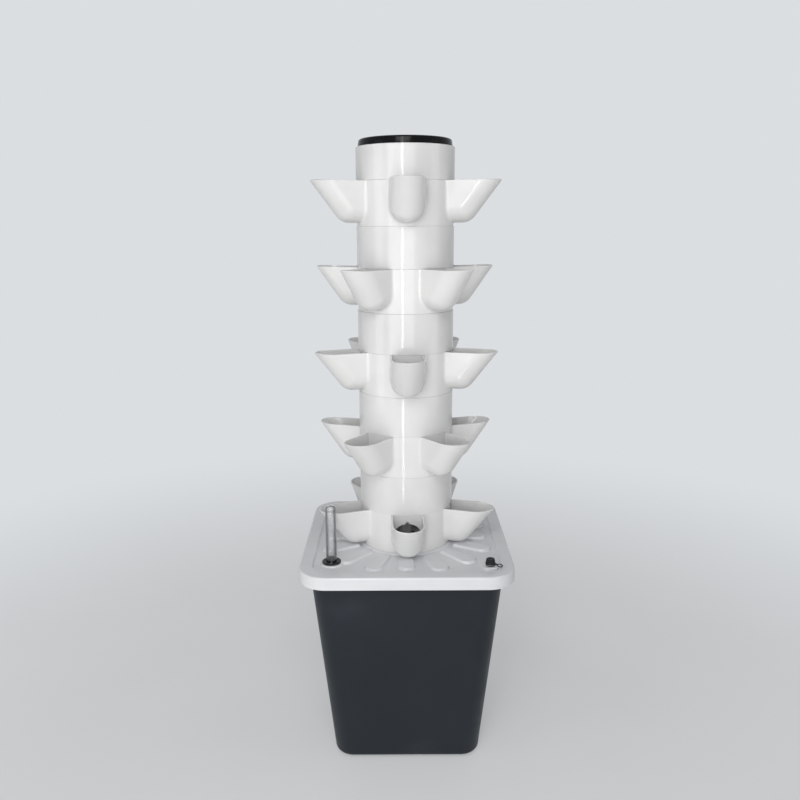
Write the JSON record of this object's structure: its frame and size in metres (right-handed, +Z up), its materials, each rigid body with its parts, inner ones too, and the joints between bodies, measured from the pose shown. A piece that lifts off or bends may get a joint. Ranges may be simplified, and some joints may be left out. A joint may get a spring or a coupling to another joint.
{
  "type": "vertical planter tower",
  "caption": "Free-standing hydroponic planter tower: a water tank with a lid carries stacked pocket rings on a hollow column fed by a small pump.",
  "frame": {"origin": "on the ground under the middle of the tank", "axes": "+Z up along the tower, -Y towards the front, +X to the right seen from the front"},
  "size_m": [0.3514, 0.3514, 1.0387],
  "materials": {
    "tank_slate": "satin",
    "lid_white": "gloss",
    "ring_white": "gloss",
    "tube_white": "gloss",
    "cap_black": "gloss",
    "inner_white": "matte",
    "trim_black": "satin",
    "clear_tube": "clear",
    "rubber_black": "matte",
    "socket_metal": "polished",
    "float_white": "matte",
    "pipe_white": "satin",
    "pump_black": "satin",
    "magnet_grey": "matte",
    "shaft_steel": "polished"
  },
  "bodies": {
    "tank": {"tank": "tank_slate"},
    "lid": {"lid": "lid_white", "drain_plate": "inner_white", "gauge_collar": "trim_black", "gauge_tube": "clear_tube", "gauge_guide": "inner_white", "guide_base": "inner_white", "socket_body": "socket_metal", "socket_nut": "socket_metal", "cap_tether": "rubber_black", "riser_pipe": "pipe_white", "riser_adapter": "rubber_black", "pump_housing": "pump_black", "pump_cover": "pump_black", "pump_strainer": "pump_black", "pump_shaft": "shaft_steel", "pump_feet": "rubber_black", "pump_lead": "rubber_black"},
    "float": {"gauge_float": "float_white", "gauge_stem": "trim_black"},
    "dust_cap": {"dust_cap": "rubber_black"},
    "pump_rotor": {"pump_rotor": "magnet_grey"},
    "tier_1": {"planting_ring_1": "ring_white", "spacer_1": "tube_white"},
    "tier_2": {"planting_ring_2": "ring_white", "spacer_2": "tube_white"},
    "tier_3": {"planting_ring_3": "ring_white", "spacer_3": "tube_white"},
    "tier_4": {"planting_ring_4": "ring_white", "spacer_4": "tube_white"},
    "tier_5": {"planting_ring_5": "ring_white", "top_tube": "tube_white", "spray_tray": "inner_white"},
    "top_cap": {"top_cap": "cap_black"}
  },
  "joints": [
    {"name": "lid_lift", "type": "slide", "parent": "tank", "child": "lid", "axis": [0, 0, 1], "range_m": [0, 0.36]},
    {"name": "tier_1_turn", "type": "hinge", "parent": "lid", "child": "tier_1", "pos_m": [0, 0, 0.3593], "axis": [0, 0, 1], "continuous": true},
    {"name": "tier_2_turn", "type": "hinge", "parent": "tier_1", "child": "tier_2", "pos_m": [0, 0, 0.4951], "axis": [0, 0, 1], "continuous": true},
    {"name": "tier_3_turn", "type": "hinge", "parent": "tier_2", "child": "tier_3", "pos_m": [0, 0, 0.6309], "axis": [0, 0, 1], "continuous": true},
    {"name": "tier_4_turn", "type": "hinge", "parent": "tier_3", "child": "tier_4", "pos_m": [0, 0, 0.7667], "axis": [0, 0, 1], "continuous": true},
    {"name": "tier_5_turn", "type": "hinge", "parent": "tier_4", "child": "tier_5", "pos_m": [0, 0, 0.9025], "axis": [0, 0, 1], "continuous": true},
    {"name": "top_cap_lift", "type": "slide", "parent": "tier_5", "child": "top_cap", "axis": [0, 0, 1], "range_m": [0, 0.04]},
    {"name": "float_rise", "type": "slide", "parent": "lid", "child": "float", "axis": [0, 0, 1], "range_m": [0, 0.084]},
    {"name": "dust_cap_pull", "type": "slide", "parent": "lid", "child": "dust_cap", "axis": [0, 0, 1], "range_m": [0, 0.016], "deforming": ["cap_tether"]},
    {"name": "pump_rotor_spin", "type": "hinge", "parent": "lid", "child": "pump_rotor", "pos_m": [0, 0, 0.0361], "axis": [0, 1, 0], "continuous": true}
  ]
}
